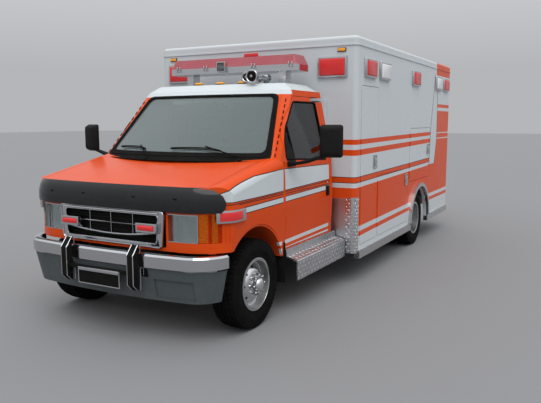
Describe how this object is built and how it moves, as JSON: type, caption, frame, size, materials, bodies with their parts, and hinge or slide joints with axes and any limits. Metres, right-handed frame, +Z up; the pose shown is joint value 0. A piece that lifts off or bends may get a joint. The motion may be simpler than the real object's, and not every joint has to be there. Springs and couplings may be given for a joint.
{
  "type": "box-bodied ambulance on a cutaway van chassis",
  "caption": "Ambulance: an orange cutaway van cab with a white box body, hinged doors and compartments, steering front wheels and twin rear wheels.",
  "frame": {"origin": "on the ground, midway along, across and under the whole vehicle", "axes": "+Z up, the front faces -Y, +X is the driver's side"},
  "size_m": [2.973, 6.76, 2.542],
  "materials": {
    "body_paint": "gloss orange paint",
    "box_paint": "gloss white paint",
    "chrome": "polished chrome plate",
    "grey_plastic": "moulded grey plastic",
    "black_plastic": "moulded black plastic",
    "dark_acrylic": "smoked gloss shield",
    "aluminium": "tread plate and extrusion",
    "chassis": "black chassis paint",
    "cast_metal": "bare castings",
    "glass": "tinted safety glass",
    "red_lens": "red moulded lens",
    "clear_lens": "clear moulded lens",
    "amber_lens": "amber moulded lens",
    "pink_lens": "sun-faded red dome",
    "seat_vinyl": "grey vinyl",
    "wheel": "rubber tyre on a bright steel wheel"
  },
  "bodies": {
    "vehicle": {"frame_rails": "chassis", "engine_block": "cast_metal", "front_axle": "chassis", "rear_axle": "chassis", "driveshaft": "chassis", "exhaust": "cast_metal", "fuel_tank": "chassis", "cab_floor": "black_plastic", "cab_frame": "body_paint", "cab_roof": "box_paint", "front_clip": "body_paint", "grille": "chrome", "headlamps": "clear_lens", "corner_lamps": "amber_lens", "windshield": "glass", "front_bumper": "chrome", "bumper_guards": "black_plastic", "bumper_valance": "grey_plastic", "dashboard": "black_plastic", "steering_wheel": "black_plastic", "cab_seats": "seat_vinyl", "running_boards": "aluminium", "module_floor": "aluminium", "module_left_wall": "box_paint", "module_right_wall": "box_paint", "module_front_wall": "box_paint", "module_rear_frame": "box_paint", "module_roof": "box_paint", "compartment_liners": "aluminium", "bench_seat": "seat_vinyl", "rub_rails": "aluminium", "wheel_flares": "chrome", "warning_lights": "red_lens", "scene_lights": "clear_lens", "marker_lights": "amber_lens", "light_bar": "chrome", "light_bar_lens": "pink_lens", "air_horns": "chrome", "rear_step": "aluminium", "tail_lamps": "red_lens"},
    "hood": {"hood": "body_paint", "hood_deflector": "dark_acrylic"},
    "cab_door_left": {"cab_door_left": "body_paint", "cab_glass_left": "glass", "mirror_left": "black_plastic"},
    "cab_door_right": {"cab_door_right": "body_paint", "cab_glass_right": "glass", "mirror_right": "black_plastic"},
    "side_entry_door": {"side_entry_door": "box_paint"},
    "rear_door_left": {"rear_door_left": "box_paint"},
    "rear_door_right": {"rear_door_right": "box_paint"},
    "compartment_door_front": {"compartment_door_front": "box_paint"},
    "compartment_door_middle": {"compartment_door_middle": "box_paint"},
    "compartment_door_upper": {"compartment_door_upper": "box_paint"},
    "knuckle_left": {"knuckle_left": "cast_metal"},
    "knuckle_right": {"knuckle_right": "cast_metal"},
    "front_wheel_left": {"front_wheel_left": "wheel"},
    "front_wheel_right": {"front_wheel_right": "wheel"},
    "rear_wheels_left": {"rear_wheels_left": "wheel"},
    "rear_wheels_right": {"rear_wheels_right": "wheel"}
  },
  "joints": [
    {"name": "hood_hinge", "type": "hinge", "parent": "vehicle", "child": "hood", "pos_m": [0, -2.318, 1.372], "axis": [-1, 0, 0], "range_deg": [0, 50]},
    {"name": "cab_door_left_hinge", "type": "hinge", "parent": "vehicle", "child": "cab_door_left", "pos_m": [1.003, -2.087, 0.9], "axis": [0, 0, -1], "range_deg": [0, 65]},
    {"name": "cab_door_right_hinge", "type": "hinge", "parent": "vehicle", "child": "cab_door_right", "pos_m": [-1.003, -2.087, 0.9], "axis": [0, 0, 1], "range_deg": [0, 65]},
    {"name": "side_entry_hinge", "type": "hinge", "parent": "vehicle", "child": "side_entry_door", "pos_m": [-1.223, -0.017, 1.27], "axis": [0, 0, 1], "range_deg": [0, 90]},
    {"name": "rear_door_left_hinge", "type": "hinge", "parent": "vehicle", "child": "rear_door_left", "pos_m": [0.637, 3.192, 1.47], "axis": [0, 0, -1], "range_deg": [0, 95]},
    {"name": "rear_door_right_hinge", "type": "hinge", "parent": "vehicle", "child": "rear_door_right", "pos_m": [-0.637, 3.192, 1.47], "axis": [0, 0, 1], "range_deg": [0, 95]},
    {"name": "compartment_front_hinge", "type": "hinge", "parent": "vehicle", "child": "compartment_door_front", "pos_m": [1.223, -0.837, 1.2], "axis": [0, 0, -1], "range_deg": [0, 90]},
    {"name": "compartment_middle_hinge", "type": "hinge", "parent": "vehicle", "child": "compartment_door_middle", "pos_m": [1.223, -0.277, 0.75], "axis": [0, 0, -1], "range_deg": [0, 90]},
    {"name": "compartment_upper_hinge", "type": "hinge", "parent": "vehicle", "child": "compartment_door_upper", "pos_m": [1.223, 0.983, 1.25], "axis": [0, 0, -1], "range_deg": [0, 90]},
    {"name": "kingpin_left", "type": "hinge", "parent": "vehicle", "child": "knuckle_left", "pos_m": [0.8, -2.58, 0.372], "axis": [0, 0, 1], "range_deg": [-32, 32]},
    {"name": "kingpin_right", "type": "hinge", "parent": "vehicle", "child": "knuckle_right", "pos_m": [-0.8, -2.58, 0.372], "axis": [0, 0, 1], "range_deg": [-32, 32]},
    {"name": "front_wheel_left_spin", "type": "hinge", "parent": "knuckle_left", "child": "front_wheel_left", "pos_m": [0.877, -2.58, 0.372], "axis": [1, 0, 0], "continuous": true},
    {"name": "rear_wheels_left_spin", "type": "hinge", "parent": "vehicle", "child": "rear_wheels_left", "pos_m": [0.946, 1.433, 0.372], "axis": [1, 0, 0], "continuous": true},
    {"name": "front_wheel_right_spin", "type": "hinge", "parent": "knuckle_right", "child": "front_wheel_right", "pos_m": [-0.877, -2.58, 0.372], "axis": [1, 0, 0], "continuous": true},
    {"name": "rear_wheels_right_spin", "type": "hinge", "parent": "vehicle", "child": "rear_wheels_right", "pos_m": [-0.946, 1.433, 0.372], "axis": [1, 0, 0], "continuous": true}
  ],
  "couplings": [
    {"joint": "kingpin_right", "follows": "kingpin_left", "ratio": 1}
  ]
}
